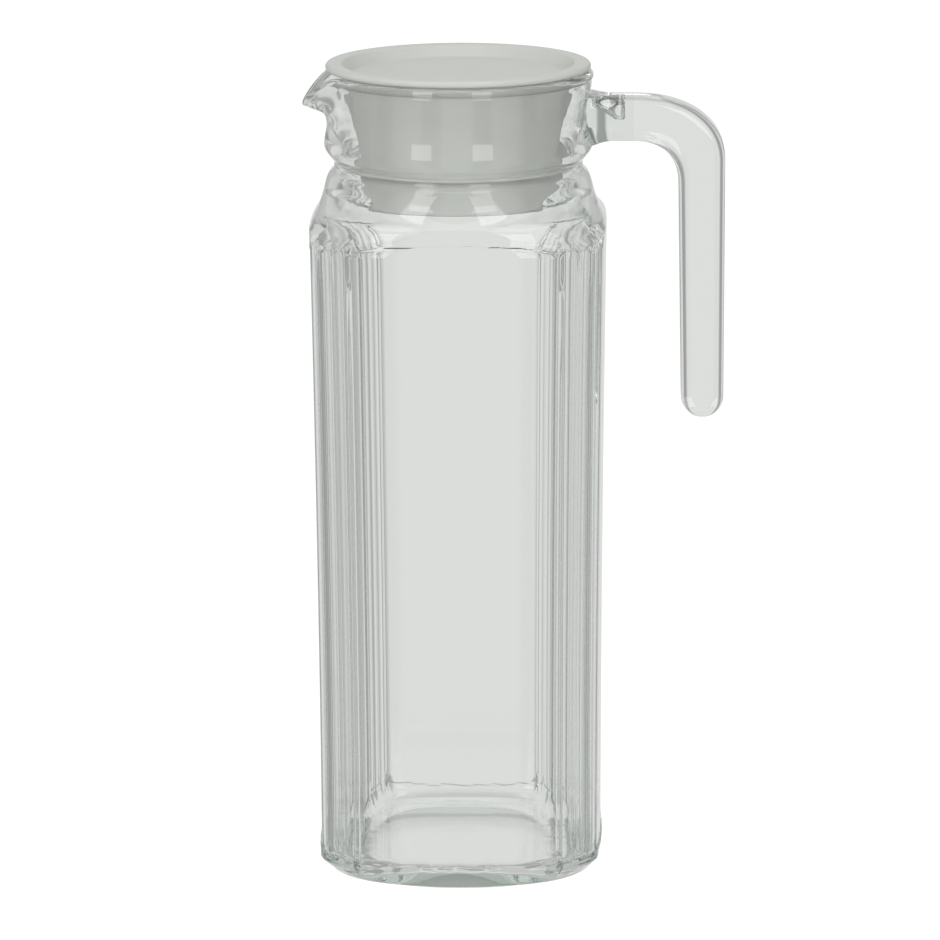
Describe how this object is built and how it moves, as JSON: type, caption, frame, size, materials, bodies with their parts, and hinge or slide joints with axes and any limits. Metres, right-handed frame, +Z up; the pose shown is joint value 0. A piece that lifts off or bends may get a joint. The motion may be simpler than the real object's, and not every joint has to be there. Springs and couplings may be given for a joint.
{
  "type": "glass pitcher with lid",
  "caption": "Tall square-shouldered pressed-glass jug with a drooping spout, an open-ended glass handle and a white push-in lid with a pouring gap, for cold drinks in a fridge door.",
  "frame": {"origin": "centre of the jug's foot, on the table", "axes": "+Z up along the jug's axis, -X towards the spout, +X towards the handle, -Y the front in the picture"},
  "size_m": [0.1342, 0.0952, 0.26],
  "materials": {
    "jug_glass": "clear pressed soda-lime glass with a faint green-grey tint, fire-polished",
    "handle_glass": "clear pressed soda-lime glass, fire-polished",
    "lid_plastic": "satin grey-white polyethylene"
  },
  "bodies": {
    "jug": {"jug_body": "jug_glass", "handle": "handle_glass"},
    "lid": {"lid": "lid_plastic"}
  },
  "joints": [
    {"name": "lid_lift", "type": "slide", "parent": "jug", "child": "lid", "axis": [0, 0, 1], "range_m": [0, 0.06]}
  ]
}
